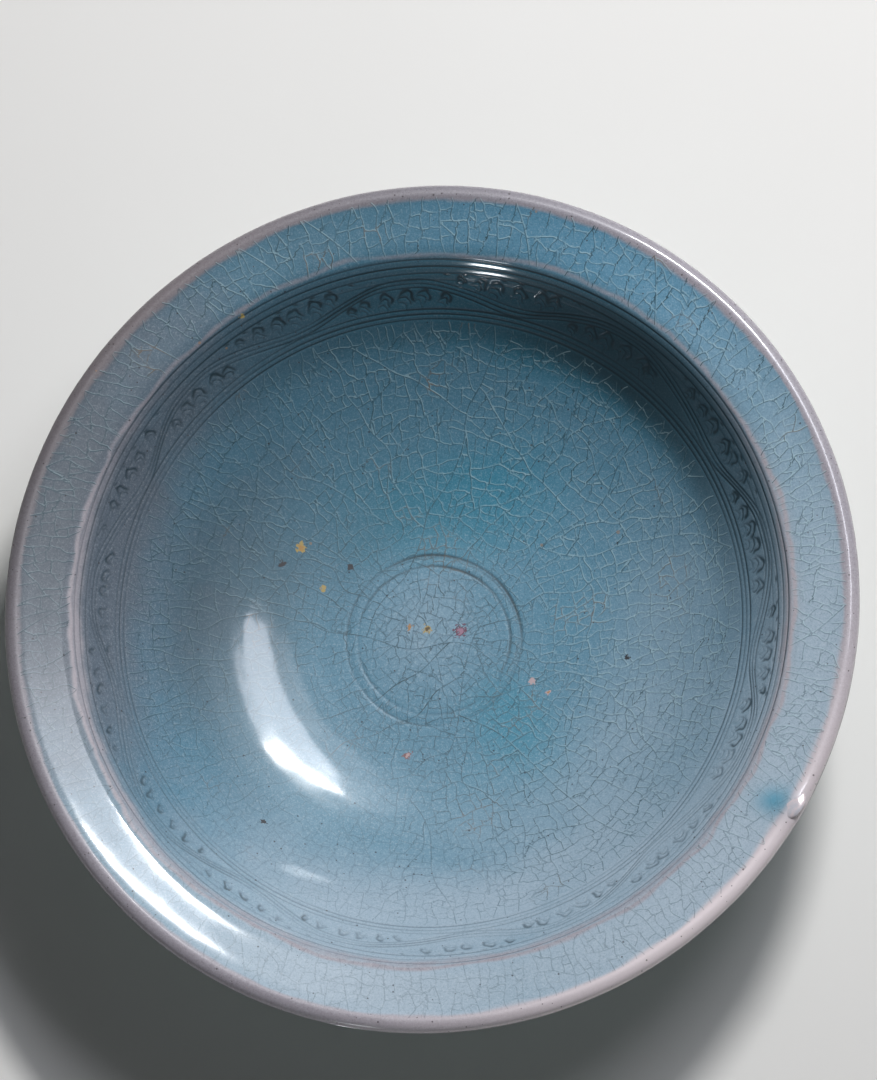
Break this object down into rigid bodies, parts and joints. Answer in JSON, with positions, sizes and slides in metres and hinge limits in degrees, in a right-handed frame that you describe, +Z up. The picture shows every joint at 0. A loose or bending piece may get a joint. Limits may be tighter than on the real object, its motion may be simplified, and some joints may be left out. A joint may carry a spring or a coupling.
{
  "type": "celadon dish",
  "caption": "Large round stoneware dish with a flanged rim and rolled lip, a deep well with comb-cut rings, a turned foot ring and thick crackled celadon glaze.",
  "frame": {"origin": "middle of the plane that the foot ring stands on", "axes": "+Z up along the axis that the dish was thrown on, out of its open side; +Y is the top of the dish as it is pictured, propped up"},
  "size_m": [0.2998, 0.2998, 0.0717],
  "materials": {
    "stoneware": "matt fired clay, reddish brown at the bare foot",
    "inside_glaze": "glossy blue-green celadon glaze, crackled",
    "outside_glaze": "glossy blue-green celadon glaze, crackled",
    "kiln_grit": "kiln grit skinned over with thin glaze"
  },
  "bodies": {
    "root": {"stoneware_body": "stoneware", "inside_glaze_coat": "inside_glaze", "outside_glaze_coat": "outside_glaze", "kiln_lump": "kiln_grit"}
  },
  "joints": []
}
